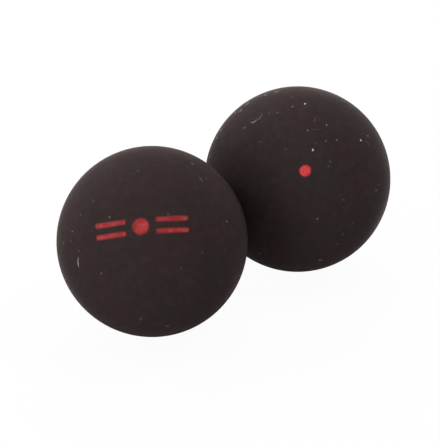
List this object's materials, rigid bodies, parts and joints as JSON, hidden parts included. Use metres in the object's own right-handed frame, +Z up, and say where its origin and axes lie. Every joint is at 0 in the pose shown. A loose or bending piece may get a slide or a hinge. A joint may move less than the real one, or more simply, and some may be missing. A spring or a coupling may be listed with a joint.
{
  "type": "squash ball",
  "caption": "Small hollow matt black rubber squash balls lying side by side, each made of cemented half shells with a printed red speed dot and side mark.",
  "frame": {"origin": "on the surface that the balls stand on, midway between the two balls", "axes": "+Z up; +X from the front ball's centre to the rear ball's centre; +Y completes a right-handed frame, and the picture looks from the -X -Y side"},
  "size_m": [0.0802, 0.04, 0.04],
  "materials": {
    "rubber": "buffed matt, brownish black",
    "seam_cement": "buffed matt outside, smooth bead inside",
    "print_ink": "thin red printed film, satin"
  },
  "bodies": {
    "front_ball": {"front_mark_half": "rubber", "front_dot_half": "rubber", "front_seam_cement": "seam_cement", "front_side_mark": "print_ink", "front_speed_dot": "print_ink"},
    "rear_ball": {"rear_mark_half": "rubber", "rear_dot_half": "rubber", "rear_seam_cement": "seam_cement", "rear_side_mark": "print_ink", "rear_speed_dot": "print_ink"}
  },
  "joints": [
    {"name": "rear_ball_roll_away", "type": "slide", "parent": "front_ball", "child": "rear_ball", "axis": [1, 0, 0], "range_m": [0, 0.08]}
  ]
}
